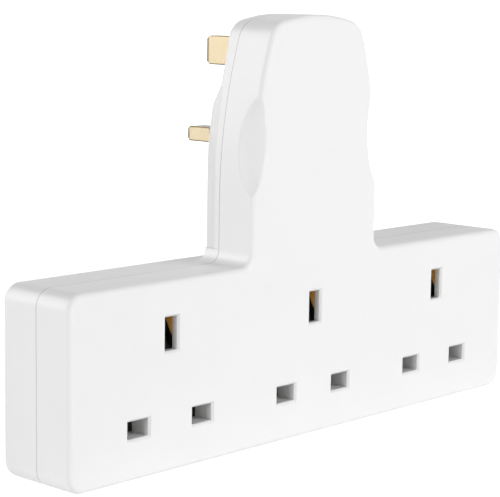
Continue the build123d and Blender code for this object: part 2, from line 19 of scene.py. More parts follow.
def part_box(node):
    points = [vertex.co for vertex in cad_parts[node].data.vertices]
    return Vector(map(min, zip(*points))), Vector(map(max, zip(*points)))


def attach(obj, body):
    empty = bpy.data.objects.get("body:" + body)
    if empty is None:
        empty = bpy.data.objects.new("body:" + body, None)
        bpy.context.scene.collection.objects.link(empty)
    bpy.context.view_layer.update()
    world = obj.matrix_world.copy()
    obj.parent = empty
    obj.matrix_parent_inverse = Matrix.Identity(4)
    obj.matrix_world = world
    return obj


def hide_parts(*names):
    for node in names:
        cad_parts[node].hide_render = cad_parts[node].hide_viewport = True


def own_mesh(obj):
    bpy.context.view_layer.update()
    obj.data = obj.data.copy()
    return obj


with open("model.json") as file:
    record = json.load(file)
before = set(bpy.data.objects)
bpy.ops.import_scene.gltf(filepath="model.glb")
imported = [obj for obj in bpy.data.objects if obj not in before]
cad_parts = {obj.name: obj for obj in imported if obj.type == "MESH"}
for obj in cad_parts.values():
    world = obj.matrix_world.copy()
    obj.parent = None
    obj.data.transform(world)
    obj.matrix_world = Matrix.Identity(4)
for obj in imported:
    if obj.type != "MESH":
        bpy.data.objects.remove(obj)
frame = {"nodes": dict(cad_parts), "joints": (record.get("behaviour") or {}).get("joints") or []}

log = logging.getLogger("plug_adapter")

MM = 0.001
IMAGE_WIDTH = 500
SENSOR_WIDTH = 36.0

Colour = tuple[float, float, float]
Point = tuple[float, float, float]
Stops = Sequence[tuple[float, float]]


class Axis(Enum):
    """One of the frame's axes; the value is its place in a vector."""

    X = 0
    Y = 1
    Z = 2


class Grain(Enum):
    """Which way a metal's drawing or rolling lines run; the value stretches the noise for them."""

    ALONG_X = (0.04, 1.0, 1.0)
    ALONG_Y = (1.0, 0.04, 1.0)
    ALONG_Z = (1.0, 1.0, 0.04)
    EVEN = (1.0, 1.0, 1.0)


class Side(Enum):
    """Which socket of the bar, as seen from the front; the value ends its nodes' names."""

    LEFT = "left"
    MIDDLE = "middle"
    RIGHT = "right"


class Value:
    """A shader socket that takes part in arithmetic; each operator adds one Math node."""

    def __init__(self, graph: "NodeGraph", socket: bpy.types.NodeSocket) -> None:
        """Wrap an output socket of a graph."""
        self.graph = graph
        self.socket = socket

    def _math(self, operation: str, first: "Value | float", second: "Value | float") -> "Value":
        """Add a Math node.

        Args:
            operation: The Math node's operation.
            first: Its first value, a number or a wrapped socket.
            second: Its second value.

        Returns:
            The node's result.
        """
        return self.graph.node("ShaderNodeMath", {"operation": operation}, {0: first, 1: second})

    def __add__(self, other: "Value | float") -> "Value":
        """Sum of the two."""
        return self._math("ADD", self, other)

    def __radd__(self, other: "Value | float") -> "Value":
        """Sum of the two."""
        return self._math("ADD", other, self)

    def __sub__(self, other: "Value | float") -> "Value":
        """This less the other."""
        return self._math("SUBTRACT", self, other)

    def __rsub__(self, other: "Value | float") -> "Value":
        """The other less this."""
        return self._math("SUBTRACT", other, self)

    def __mul__(self, other: "Value | float") -> "Value":
        """Product of the two."""
        return self._math("MULTIPLY", self, other)

    def __rmul__(self, other: "Value | float") -> "Value":
        """Product of the two."""
        return self._math("MULTIPLY", other, self)

    def __abs__(self) -> "Value":
        """This without its sign."""
        return self._math("ABSOLUTE", self, 0.0)


class NodeGraph:
    """A tree of shader nodes under construction."""

    def __init__(self, tree: bpy.types.NodeTree) -> None:
        """Empty the tree."""
        self.tree = tree
        self.tree.nodes.clear()

    def feed(self, socket: bpy.types.NodeSocket, value: Any) -> None:
        """Link a wrapped socket to an input, or set the input to a constant.

        Args:
            socket: The input.
            value: The wrapped socket or the constant.
        """
        if isinstance(value, Value):
            self.tree.links.new(value.socket, socket)
        else:
            socket.default_value = value

    def add(
        self,
        kind: str,
        settings: Mapping[str, Any] | None = None,
        inputs: Mapping[int | str, Any] | None = None,
    ) -> bpy.types.Node:
        """Add one node of any kind.

        Args:
            kind: The node's type name.
            settings: Attributes to set first; "stops" gives a ramp's positions and grey levels.
            inputs: Values or links of its sockets, by name or index.

        Returns:
            The node.
        """
        made = self.tree.nodes.new(kind)
        for key, value in (settings or {}).items():
            if key == "stops":
                self._set_stops(made.color_ramp, value)
            else:
                setattr(made, key, value)
        for key, value in (inputs or {}).items():
            self.feed(made.inputs[key], value)
        return made

    def node(
        self,
        kind: str,
        settings: Mapping[str, Any] | None = None,
        inputs: Mapping[int | str, Any] | None = None,
        output: int | str = 0,
    ) -> Value:
        """Add one node of any kind and wrap one of its outputs.

        Args:
            kind: The node's type name.
            settings: Attributes to set first.
            inputs: Values or links of its sockets, by name or index.
            output: Which of its outputs to return, by name or index.

        Returns:
            That output, wrapped.
        """
        return Value(self, self.add(kind, settings, inputs).outputs[output])

    @staticmethod
    def _set_stops(ramp: bpy.types.ColorRamp, stops: Stops) -> None:
        """Set a ramp's stops.

        Args:
            ramp: The ramp.
            stops: Their positions and grey levels.
        """
        while len(ramp.elements) < len(stops):
            ramp.elements.new(1.0)
        for element, (position, level) in zip(ramp.elements, stops):
            element.position = position
            element.color = (level, level, level, 1.0)

    def seen(self) -> Value:
        """Tell rays of the eye, of gloss and of clear pieces from those of light.

        Returns:
            1 for those rays, else 0.
        """
        path = self.add("ShaderNodeLightPath")
        seen = Value(self, path.outputs["Is Camera Ray"])
        for kind in ("Is Glossy Ray", "Is Transmission Ray"):
            either = {0: seen, 1: Value(self, path.outputs[kind])}
            seen = self.node("ShaderNodeMath", {"operation": "MAXIMUM"}, either)
        return seen


class Shader(NodeGraph):
    """A material under construction, with one Principled surface."""

    # Places of a Mix node's colour sockets, because several of its sockets share a name.
    MIX_FIRST: ClassVar[int] = 6
    MIX_SECOND: ClassVar[int] = 7
    MIX_RESULT: ClassVar[int] = 2

    def __init__(self, name: str) -> None:
        """Start a material.

        Args:
            name: The material's name.
        """
        self.material = bpy.data.materials.new(name)
        self.material.use_nodes = True
        super().__init__(self.material.node_tree)
        self.surface = self.add("ShaderNodeBsdfPrincipled")
        result = Value(self, self.surface.outputs["BSDF"])
        self.add("ShaderNodeOutputMaterial", inputs={"Surface": result})

    def noise(self, per_metre: float, detail: float, grain: Grain = Grain.EVEN) -> Value:
        """Noise on the piece's own coordinates.

        Args:
            per_metre: How many lumps there are to a metre.
            detail: Octaves of finer noise.
            grain: Which way the lumps are drawn out.

        Returns:
            Values about one half.
        """
        point = self.node("ShaderNodeTexCoord", output="Object")
        if grain is not Grain.EVEN:
            point = self.node("ShaderNodeMapping", inputs={"Vector": point, "Scale": grain.value})
        inputs = {"Vector": point, "Scale": per_metre, "Detail": detail}
        return self.node("ShaderNodeTexNoise", inputs=inputs)

    def where(self, axis: Axis) -> Value:
        """Place along one of the piece's own axes, in metres."""
        return self._component("Object", axis)

    def facing(self, axis: Axis) -> Value:
        """How far the surface faces along one of the piece's own axes, from -1 to 1."""
        return self._component("Normal", axis)

    def _component(self, source: str, axis: Axis) -> Value:
        """One component of a texture coordinate."""
        vector = self.node("ShaderNodeTexCoord", output=source)
        return self.node("ShaderNodeSeparateXYZ", inputs={0: vector}, output=axis.value)

    def near(self, value: Value, middle: float, reach: float) -> Value:
        """1 where a value lies within reach of the middle, else 0."""
        inputs = {0: value, 1: middle, 2: reach}
        return self.node("ShaderNodeMath", {"operation": "COMPARE"}, inputs)

    def ramp(self, value: Value, stops: Stops) -> Value:
        """Bend a value through these positions and levels."""
        return self.node("ShaderNodeValToRGB", {"stops": stops}, {"Fac": value})

    def tint(self, share: Value, plain: Value | Colour, other: Colour) -> Value:
        """Mix two colours.

        Args:
            share: How much of the second colour there is.
            plain: The first colour, wrapped if it varies.
            other: The second colour.

        Returns:
            The mixed colour.
        """
        first = plain if isinstance(plain, Value) else (*plain, 1.0)
        inputs = {"Factor": share, self.MIX_FIRST: first, self.MIX_SECOND: (*other, 1.0)}
        return self.node("ShaderNodeMix", {"data_type": "RGBA"}, inputs, self.MIX_RESULT)

    def relief(self, height: Value, depth: float, strength: float) -> None:
        """Let a height show as fine relief.

        Args:
            height: Heights from 0 to 1.
            depth: How far 1 stands above 0, in metres.
            strength: How strongly it shows.
        """
        inputs = {"Height": height, "Distance": depth, "Strength": strength}
        self.finish(Normal=self.node("ShaderNodeBump", inputs=inputs))

    def finish(self, **sockets: Any) -> None:
        """Set or link the surface's sockets; an underscore in a name stands for a space."""
        for name, value in sockets.items():
            self.feed(self.surface.inputs[name.replace("_", " ")], value)


@dataclass(frozen=True)
class ShadedBlock:
    """A block of space, and its mirror image across X = 0, in which a moulding is darkened with
    painted shade.

    Attributes:
        shade: The colour of the painted shade there.
        low: The block's lowest corner, in metres.
        high: Its highest corner, in metres.
    """

    shade: Colour
    low: Point
    high: Point

    def mask(self, shader: Shader) -> Value:
        """Tell the inside of the block from the outside.

        Args:
            shader: The material that takes the shade.

        Returns:
            1 inside the block, else 0.
        """
        point = (abs(shader.where(Axis.X)), shader.where(Axis.Y), shader.where(Axis.Z))
        x, y, z = (
            shader.near(where, (low + high) / 2, (high - low) / 2)
            for where, low, high in zip(point, self.low, self.high)
        )
        return x * y * z


@dataclass(frozen=True)
class MouldedPlastic:
    """An injection-moulded surface: slight clouding, fine spark grain and faint rubbing marks.

    Attributes:
        name: The material's name.
        colour: Its colour.
        cloud: The colour it drifts towards.
        roughness: Mean roughness.
        rub: How much the rubbing marks change the roughness.
        grain: Lumps of spark grain to a metre.
        grain_depth: Depth of the grain, in metres.
        gloss: Level of its mirror-like gloss.
        seam: Where along Y a joint's hairline of shade runs, in metres, or None.
        shade_blocks: Where it is darkened with painted shade.
    """

    name: str
    colour: Colour
    cloud: Colour
    roughness: float
    rub: float = 0.06
    grain: float = 2600.0
    grain_depth: float = 6e-6
    gloss: float = 0.5
    seam: float | None = None
    shade_blocks: tuple[ShadedBlock, ...] = ()

    IOR: ClassVar[float] = 1.49
    CLOUDS_PER_METRE: ClassVar[float] = 45.0
    CLOUD_DETAIL: ClassVar[float] = 3.0
    CLOUD_STOPS: ClassVar[Stops] = ((0.35, 0.0), (0.68, 1.0))
    RUBS_PER_METRE: ClassVar[float] = 320.0
    RUB_DETAIL: ClassVar[float] = 4.0
    RUB_STOPS: ClassVar[Stops] = ((0.46, 0.0), (0.62, 1.0))
    GRAIN_DETAIL: ClassVar[float] = 1.0
    GRAIN_STRENGTH: ClassVar[float] = 0.35
    SEAM_HALF_WIDTH: ClassVar[float] = 0.13 * MM
    SEAM_SHADE: ClassVar[Colour] = (0.56, 0.56, 0.56)

    def make(self) -> bpy.types.Material:
        """Build the material.

        Returns:
            The material.
        """
        shader = Shader(self.name)
        clouds = shader.noise(self.CLOUDS_PER_METRE, self.CLOUD_DETAIL)
        rubs = shader.noise(self.RUBS_PER_METRE, self.RUB_DETAIL, Grain.ALONG_X)
        rubs = shader.ramp(rubs, self.RUB_STOPS)
        grain = shader.noise(self.grain, self.GRAIN_DETAIL)
        colour = shader.tint(shader.ramp(clouds, self.CLOUD_STOPS), self.colour, self.cloud)
        if self.seam is not None:
            line = shader.near(shader.where(Axis.Y), self.seam, self.SEAM_HALF_WIDTH)
            colour = shader.tint(line, colour, self.SEAM_SHADE)
        # Painted shade inside each block.
        for block in self.shade_blocks:
            colour = shader.tint(block.mask(shader), colour, block.shade)
        shader.finish(
            Base_Color=colour,
            Roughness=rubs * self.rub + grain * self.rub + (self.roughness - self.rub),
            IOR=self.IOR,
            Specular_IOR_Level=self.gloss,
        )
        shader.relief(grain, self.grain_depth, self.GRAIN_STRENGTH)
        return shader.material


@dataclass(frozen=True)
class DrawnMetal:
    """Drawn or rolled metal: fine lines along its grain, with patches of tarnish.

    Attributes:
        name: The material's name.
        colour: Bright metal.
        tarnish: Metal that has dulled.
        roughness: Roughness where it is bright.
        dulling: Added roughness where it is dull.
        grain: Which way its lines run.
        lines: Lines to a metre across the grain.
        line_depth: Depth of the lines, in metres.
        edge: Colour of painted shade on the narrow faces that turn away from the broad ones, or
            None.
        broad: Which way the broad faces look.
        metallic: How far it is bare metal.
        painted_shade: Where painted black shade ends: its height at Y = 0, in metres, and its rise
            along Y, or None.
    """

    name: str
    colour: Colour
    tarnish: Colour
    roughness: float
    dulling: float
    grain: Grain
    lines: float = 5200.0
    line_depth: float = 3e-6
    edge: Colour | None = None
    broad: Axis = Axis.X
    metallic: float = 1.0
    painted_shade: tuple[float, float] | None = None

    LINE_DETAIL: ClassVar[float] = 2.0
    LINE_STRENGTH: ClassVar[float] = 0.4
    PATCHES_PER_METRE: ClassVar[float] = 210.0
    PATCH_DETAIL: ClassVar[float] = 5.0
    PATCH_STOPS: ClassVar[Stops] = ((0.42, 0.0), (0.72, 1.0))
    PATCH_SHARE: ClassVar[float] = 0.7
    EDGE_SHADE_STOPS: ClassVar[Stops] = ((0.93, 1.0), (0.995, 0.0))
    PAINTED_SHADE_FADE: ClassVar[float] = 1.2 * MM
    PAINTED_SHADE_STOPS: ClassVar[Stops] = ((0.0, 1.0), (1.0, 0.0))
    PAINTED_SHADE_BLACK: ClassVar[Colour] = (0.008, 0.007, 0.006)

    def make(self) -> bpy.types.Material:
        """Build the material.

        Returns:
            The material.
        """
        shader = Shader(self.name)
        lines = shader.noise(self.lines, self.LINE_DETAIL, self.grain)
        patches = shader.noise(self.PATCHES_PER_METRE, self.PATCH_DETAIL)
        patches = shader.ramp(patches, self.PATCH_STOPS)
        dull = patches * self.PATCH_SHARE + lines * (1.0 - self.PATCH_SHARE)
        colour = shader.tint(dull, self.colour, self.tarnish)
        # Painted shade: the narrow faces are darkened by which way they face.
        if self.edge is not None:
            facing = shader.facing(self.broad)
            edge_shade = shader.ramp(facing * facing, self.EDGE_SHADE_STOPS)
            colour = shader.tint(edge_shade, colour, self.edge)
        # Painted shade: the metal turns black below a slanted line.
        if self.painted_shade is not None:
            height, rise = self.painted_shade
            above = shader.where(Axis.Z) - shader.where(Axis.Y) * rise - height
            dark = shader.ramp(above * (1.0 / self.PAINTED_SHADE_FADE), self.PAINTED_SHADE_STOPS)
            colour = shader.tint(dark, colour, self.PAINTED_SHADE_BLACK)
        shader.finish(
            Base_Color=colour,
            Roughness=dull * self.dulling + self.roughness,
            Metallic=self.metallic,
        )
        shader.relief(lines, self.line_depth, self.LINE_STRENGTH)
        return shader.material


@dataclass(frozen=True)
class FiredCeramic:
    """Fired ceramic: speckled, with a thin glaze.

    Attributes:
        name: The material's name.
        colour: Its body colour.
        speck: The colour of its specks.
        roughness: Mean roughness.
    """

    name: str
    colour: Colour
    speck: Colour
    roughness: float

    SPECKS_PER_METRE: ClassVar[float] = 3800.0
    SPECK_DETAIL: ClassVar[float] = 2.0
    SPECK_STOPS: ClassVar[Stops] = ((0.6, 0.0), (0.7, 1.0))
    ROUGHNESS_SPREAD: ClassVar[float] = 0.2
    GLAZE: ClassVar[float] = 0.2
    RELIEF_DEPTH: ClassVar[float] = 8e-6
    RELIEF_STRENGTH: ClassVar[float] = 0.3

    def make(self) -> bpy.types.Material:
        """Build the material.

        Returns:
            The material.
        """
        shader = Shader(self.name)
        grain = shader.noise(self.SPECKS_PER_METRE, self.SPECK_DETAIL)
        specks = shader.ramp(grain, self.SPECK_STOPS)
        smoothest = self.roughness - self.ROUGHNESS_SPREAD / 2
        shader.finish(
            Base_Color=shader.tint(specks, self.colour, self.speck),
            Roughness=grain * self.ROUGHNESS_SPREAD + smoothest,
            Coat_Weight=self.GLAZE,
        )
        shader.relief(grain, self.RELIEF_DEPTH, self.RELIEF_STRENGTH)
        return shader.material


Finish = MouldedPlastic | DrawnMetal | FiredCeramic


def paint(nodes: Sequence[str], material: bpy.types.Material) -> None:
    """Give CAD nodes a material.

    Args:
        nodes: Names of the nodes.
        material: What they are made of.
    """
    for name in nodes:
        piece = frame["nodes"][name]
        piece.data.materials.clear()
        piece.data.materials.append(material)
        log.info("%s is finished in %s", name, material.name)


def place(
    shape: bmesh.types.BMesh,
    node: str,
    slot: str,
    material: bpy.types.Material,
    crease: float = math.pi,
) -> bpy.types.Object:
    """Turn a finished shape into a piece that rides on the housing in a node's place.

    Args:
        shape: The shape, in the adapter's frame; it is freed.
        node: The CAD node that the piece stands for.
        slot: The record's material slot; not used.
        material: What it is made of.
        crease: Edges that turn by more than this stay sharp, in radians.

    Returns:
        The piece.
    """
    bmesh.ops.recalc_face_normals(shape, faces=shape.faces)
    mesh = bpy.data.meshes.new(f"{node}_fine")
    shape.to_mesh(mesh)
    shape.free()
    mesh.shade_smooth()
    mesh.set_sharp_from_angle(angle=crease)
    mesh.materials.append(material)
    piece = bpy.data.objects.new(f"{node}_fine", mesh)
    bpy.context.scene.collection.objects.link(piece)
    if crease < math.pi:
        piece.modifiers.new("flat_faces", "WEIGHTED_NORMAL").keep_sharp = True
    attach(piece, "housing")
    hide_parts(node)
    log.info("%s is made and finished in %s", piece.name, material.name)
    return piece


@dataclass
class ScrewGroup:
    """Like screws in a row, with bevelled heads and a drive of three joined lobes.

    Attributes:
        node: The screws' CAD node.
        xs: Where the screws stand along X, in metres.
        head_radius: Radius of a head, in metres.
        head_height: Height of a head.
        shank_radius: Radius of a shank.
        bevel: Size of the bevel round a head.
        drive_radius: Mean radius of the drive's mouth.
        drive_floor: Mean radius of the drive's floor.
        drive_depth: Depth of the drive.
        lobe_share: How far the lobes stand out, as a share of the mean radius.
        sides: Sides of everything round.
        crease: Edges that turn by more than this stay sharp, in radians.
    """

    node: str
    xs: tuple[float, ...]
    head_radius: float = 2.6 * MM
    head_height: float = 1.9 * MM
    shank_radius: float = 1.5 * MM
    bevel: float = 0.4 * MM
    drive_radius: float = 0.95 * MM
    drive_floor: float = 0.5 * MM
    drive_depth: float = 1.0 * MM
    lobe_share: float = 0.5
    sides: int = 48
    crease: float = math.radians(25.0)

    LOBES: ClassVar[int] = 3

    def build(self, material: bpy.types.Material) -> bpy.types.Object:
        """Draw each screw from its drive's floor, out over the head and down to the tip.

        Args:
            material: What the screws are made of.

        Returns:
            The screws, riding on the housing.
        """
        low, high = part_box(self.node)
        under_head = high.y - self.head_height
        rings = (
            (self.drive_radius, high.y, self.lobe_share),
            (self.head_radius - self.bevel, high.y, 0.0),
            (self.head_radius, high.y - self.bevel, 0.0),
            (self.head_radius, under_head, 0.0),
            (self.shank_radius, under_head, 0.0),
            (self.shank_radius, low.y, 0.0),
        )
        height = high.z - self.head_radius
        shape = bmesh.new()
        for x in self.xs:
            axis = Vector((x, high.y - self.drive_depth, height))
            facing = Matrix.Translation(axis) @ Matrix.Rotation(math.pi / 2, 4, "X")
            made = bmesh.ops.create_circle(
                shape, cap_ends=True, segments=self.sides, radius=self.drive_floor, matrix=facing
            )
            verts = made["verts"]
            edges = list({edge for vert in verts for edge in vert.link_edges})
            self._set_ring(verts, axis, self.drive_floor, axis.y, self.lobe_share)
            for radius, depth, lobes in rings:
                made = bmesh.ops.extrude_edge_only(shape, edges=edges)["geom"]
                verts = [item for item in made if isinstance(item, bmesh.types.BMVert)]
                edges = [
                    item
                    for item in made
                    if isinstance(item, bmesh.types.BMEdge) and all(v in verts for v in item.verts)
                ]
                self._set_ring(verts, axis, radius, depth, lobes)
            bmesh.ops.contextual_create(shape, geom=edges)
        return place(shape, self.node, "screw_steel", material, self.crease)

    def _set_ring(
        self,
        verts: Sequence[bmesh.types.BMVert],
        axis: Vector,
        radius: float,
        depth: float,
        lobes: float,
    ) -> None:
        """Set a ring of points round a screw's axis.

        Args:
            verts: The points.
            axis: Where the axis stands in X and Z.
            radius: The ring's mean radius.
            depth: Where it lies along Y.
            lobes: How far its lobes stand out, as a share of the radius.
        """
        for vert in verts:
            angle = math.atan2(vert.co.z - axis.z, vert.co.x - axis.x)
            reach = radius * (1 + lobes * math.cos(self.LOBES * (angle + math.pi / 2)))
            vert.co = (axis.x + reach * math.cos(angle), depth, axis.z + reach * math.sin(angle))


@dataclass
class Housing:
    """The two white covers and the screws that join them.

    Attributes:
        covers: Nodes of the covers.
        white: Finish of the covers.
        screws: The screws that hold the bar and the stem together.
        zinc: Finish of the screws.
    """

    # Painted shade on the walls inside the line and neutral slots.
    SLOT_WALL_SHADE: ClassVar[ShadedBlock] = ShadedBlock(
        shade=(0.75, 0.75, 0.745),
        low=(0.0, -19.75 * MM, 8.8 * MM),
        high=(86.0 * MM, -8.35 * MM, 16.8 * MM),
    )
    # Painted shade on the drafted band along the stem's rear edges.
    STEM_EDGE_SHADE: ClassVar[ShadedBlock] = ShadedBlock(
        shade=(0.79, 0.79, 0.787),
        low=(21.9 * MM, -6.4 * MM, 51.7 * MM),
        high=(26.0 * MM, -2.4 * MM, 94.0 * MM),
    )

    covers: tuple[str, ...] = ("front_cover", "rear_cover")
    white: Finish = MouldedPlastic(
        "housing_white", (0.87, 0.87, 0.868), (0.855, 0.857, 0.855), 0.34, seam=-8.35 * MM,
        shade_blocks=(SLOT_WALL_SHADE, STEM_EDGE_SHADE),
    )
    screws: tuple[ScrewGroup, ...] = (
        ScrewGroup("bar_screws", (-80.0 * MM, -27.0 * MM, 27.0 * MM, 80.0 * MM)),
        ScrewGroup("stem_screws", (-11.0 * MM, 11.0 * MM)),
    )
    # Painted shade on the faces that don't look along Y: the drive's walls and the heads' sides.
    zinc: Finish = DrawnMetal(
        "screw_zinc", (0.44, 0.43, 0.38), (0.32, 0.31, 0.26), 0.26, 0.2, Grain.EVEN, 3000.0,
        edge=(0.07, 0.066, 0.058), broad=Axis.Y,
    )

    def dress(self) -> None:
        """Finish the covers, then make and finish the screws."""
        paint(self.covers, self.white.make())
        zinc = self.zinc.make()
        for group in self.screws:
            group.build(zinc)


@dataclass
class Plug:
    """The three pins on the stem's back, two of them in black sleeves.

    Attributes:
        tapers: How long each pin's tip tapers, in metres, by the pin's node.
        packed_taper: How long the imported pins' tips taper.
        taper_margin: How far in front of a packed taper its points may lie.
        weld: Points of a packed pin that are nearer than this are one.
        crease: Edges that turn by more than this stay sharp, in radians.
        sleeves: Nodes of the sleeves.
        brass: Finish of the pins.
        black: Finish of the sleeves.
    """

    tapers: Mapping[str, float] = field(
        default_factory=lambda: {
            "earth_pin": 2.0 * MM, "line_pin": 1.6 * MM, "neutral_pin": 1.6 * MM,
        }
    )
    packed_taper: float = 0.9 * MM
    taper_margin: float = 0.05 * MM
    weld: float = 0.002 * MM
    crease: float = math.radians(20.0)
    sleeves: tuple[str, ...] = ("line_sleeve", "neutral_sleeve")
    # Painted shade on the pins' narrow faces and tip bevels, for their dark reflections.
    brass: Finish = DrawnMetal(
        "pin_brass", (0.57, 0.48, 0.33), (0.51, 0.42, 0.28), 0.24, 0.14, Grain.ALONG_Y,
        edge=(0.17, 0.13, 0.065),
    )
    black: Finish = MouldedPlastic(
        "sleeve_black", (0.022, 0.021, 0.02), (0.03, 0.029, 0.028), 0.46
    )

    def build(self, node: str, taper: float, brass: bpy.types.Material) -> bpy.types.Object:
        """Draw out the taper at a pin's tip.

        Args:
            node: The pin's CAD node.
            taper: How long its tip tapers, in metres.
            brass: What the pin is made of.

        Returns:
            The pin, riding on the housing.
        """
        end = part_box(node)[1].y
        taper_start = end - self.packed_taper - self.taper_margin
        shape = bmesh.new()
        shape.from_mesh(frame["nodes"][node].data)
        bmesh.ops.remove_doubles(shape, verts=shape.verts, dist=self.weld)
        bmesh.ops.scale(
            shape,
            vec=(1.0, taper / self.packed_taper, 1.0),
            space=Matrix.Translation((0.0, -end, 0.0)),
            verts=[vert for vert in shape.verts if vert.co.y > taper_start],
        )
        return place(shape, node, "pin_brass", brass, self.crease)

    def dress(self) -> None:
        """Make and finish the pins, then finish their sleeves."""
        brass = self.brass.make()
        for node, taper in self.tapers.items():
            self.build(node, taper, brass)
        paint(self.sleeves, self.black.make())


@dataclass
class FuseUnit:
    """The red carrier with its cartridge fuse, and the clips that grip the fuse.

    Attributes:
        carrier: Node of the carrier.
        barrel: Node of the fuse's barrel.
        caps: Nodes of the fuse's end caps.
        clips: Nodes of the clips.
        red: Finish of the carrier.
        ceramic: Finish of the barrel.
        plate: Finish of the caps.
        brass: Finish of the clips.
    """

    carrier: str = "fuse_carrier"
    barrel: str = "fuse_barrel"
    caps: tuple[str, ...] = ("fuse_cap_line", "fuse_cap_load")
    clips: tuple[str, ...] = ("fuse_clip_line", "fuse_clip_load")
    red: Finish = MouldedPlastic(
        "carrier_red", (0.31, 0.008, 0.011), (0.27, 0.006, 0.009), 0.33, gloss=0.2
    )
    ceramic: Finish = FiredCeramic("fuse_ceramic", (0.58, 0.49, 0.45), (0.46, 0.38, 0.34), 0.42)
    plate: Finish = DrawnMetal(
        "fuse_cap_plate", (0.76, 0.75, 0.72), (0.6, 0.58, 0.54), 0.2, 0.16, Grain.ALONG_X
    )
    brass: Finish = DrawnMetal(
        "clip_brass", (0.77, 0.6, 0.33), (0.58, 0.41, 0.2), 0.28, 0.2, Grain.ALONG_Y
    )

    def dress(self) -> None:
        """Finish the carrier, the fuse and the clips."""
        paint((self.carrier,), self.red.make())
        paint((self.barrel,), self.ceramic.make())
        paint(self.caps, self.plate.make())
        paint(self.clips, self.brass.make())


@dataclass
class Wiring:
    """The contacts in the sockets, the bars that join them and the links up the stem.

    Attributes:
        brass_with_painted_light: Finish of the earth contacts, which show in their slots: brass
            with a painted reflection that makes it brighter and deeper orange, and painted shade
            below a slanted line.
        strip: Finish of the other contacts and the bars.
        upright: Finish of the links and the strap, whose lines run up the stem.
    """

    # Brass painted brighter and deeper orange than the strips as a painted reflection of brass in
    # brass, with black painted shade below a slanted line.
    brass_with_painted_light: Finish = DrawnMetal(
        "contact_brass", (1.0, 0.56, 0.12), (0.9, 0.46, 0.08), 0.3, 0.22, Grain.ALONG_Y,
        metallic=0.2, painted_shade=(66.0 * MM, 1.8),
    )
    strip: Finish = DrawnMetal(
        "strip_brass", (0.76, 0.56, 0.28), (0.55, 0.37, 0.17), 0.3, 0.22, Grain.ALONG_X
    )
    upright: Finish = DrawnMetal(
        "link_brass", (0.76, 0.56, 0.28), (0.55, 0.37, 0.17), 0.3, 0.22, Grain.ALONG_Z
    )

    def dress(self) -> None:
        """Finish everything that carries current, apart from the plug and the fuse."""
        nodes = sorted(frame["nodes"])
        contacts = [name for name in nodes if "_contact_" in name]
        earth = [name for name in contacts if name.startswith("earth")]
        bars = [name for name in nodes if name.endswith("_bar")]
        links = [name for name in nodes if name.endswith(("_link", "_strap"))]
        paint(earth, self.brass_with_painted_light.make())
        paint(bars + [name for name in contacts if name not in earth], self.strip.make())
        paint(links, self.upright.make())


@dataclass
class SocketShutter:
    """One socket's black shutter and the coil spring that pushes it back up.

    Attributes:
        side: Which socket it belongs to.
        wire: The spring wire's radius, in metres.
        turns: Open turns, between one closed turn at each end.
        turn_steps: Straight lengths to a turn.
        wire_sides: Sides of the wire.
        weld: Points of the coil that are nearer than this are one, in metres.
    """

    side: Side
    wire: float = 0.225 * MM
    turns: int = 4
    turn_steps: int = 24
    wire_sides: int = 10
    weld: float = 0.0045 * MM

    @property
    def shutter(self) -> str:
        """Name of the shutter's node."""
        return f"shutter_{self.side.value}"

    @property
    def spring(self) -> str:
        """Name of the spring's node."""
        return f"shutter_spring_{self.side.value}"

    def build(self, steel: bpy.types.Material) -> bpy.types.Object:
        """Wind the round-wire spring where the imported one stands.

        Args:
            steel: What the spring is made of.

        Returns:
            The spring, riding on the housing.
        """
        low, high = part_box(self.spring)
        middle = (low + high) / 2
        radius = (high.x - low.x) / 2 - self.wire
        height = high.z - low.z
        # Two closed turns, and the wire's own thickness, come off the height of the open ones.
        closed_pitch = 2 * self.wire
        open_pitch = (height - 3 * closed_pitch) / self.turns
        coil = bmesh.new()
        start = Matrix.Translation((middle.x + radius, middle.y, low.z + self.wire))
        upright = Matrix.Rotation(math.pi / 2, 4, "X")
        ring = bmesh.ops.create_circle(
            coil,
            cap_ends=True,
            segments=self.wire_sides,
            radius=self.wire,
            matrix=start @ upright,
        )
        last: list[Any] = list(ring["verts"]) + list(coil.edges) + list(coil.faces)
        for turns, pitch in ((1, closed_pitch), (self.turns, open_pitch), (1, closed_pitch)):
            spun = bmesh.ops.spin(
                coil,
                geom=last,
                cent=(middle.x, middle.y, 0.0),
                axis=(0.0, 0.0, 1.0),
                dvec=(0.0, 0.0, pitch / self.turn_steps),
                angle=2 * math.pi * turns,
                steps=turns * self.turn_steps,
                use_merge=False,
            )
            last = spun["geom_last"]
        bmesh.ops.remove_doubles(coil, verts=coil.verts, dist=self.weld)
        piece = place(coil, self.spring, "spring_steel", steel)
        joint = next(j for j in frame["joints"] if j["name"] == f"{self.shutter}_slide")
        keep = (height - max(joint["range_m"])) / height
        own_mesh(piece)
        return piece

    def dress(self, moulding: bpy.types.Material, steel: bpy.types.Material) -> None:
        """Finish the shutter, then wind and finish its spring.

        Args:
            moulding: What the shutter is made of.
            steel: What the spring is made of.
        """
        paint((self.shutter,), moulding)
        self.build(steel)


@dataclass
class Sockets:
    """The shutters of the three sockets.

    Attributes:
        black: Finish of the shutters.
        steel: Finish of their springs.
    """

    black: Finish = MouldedPlastic(
        "shutter_black", (0.018, 0.018, 0.018), (0.026, 0.026, 0.026), 0.5
    )
    steel: Finish = DrawnMetal(
        "spring_steel", (0.63, 0.62, 0.6), (0.46, 0.45, 0.42), 0.22, 0.16, Grain.EVEN, 3600.0
    )

    def dress(self) -> None:
        """Finish each socket's moving pieces."""
        moulding = self.black.make()
        steel = self.steel.make()
        for side in Side:
            SocketShutter(side).dress(moulding, steel)


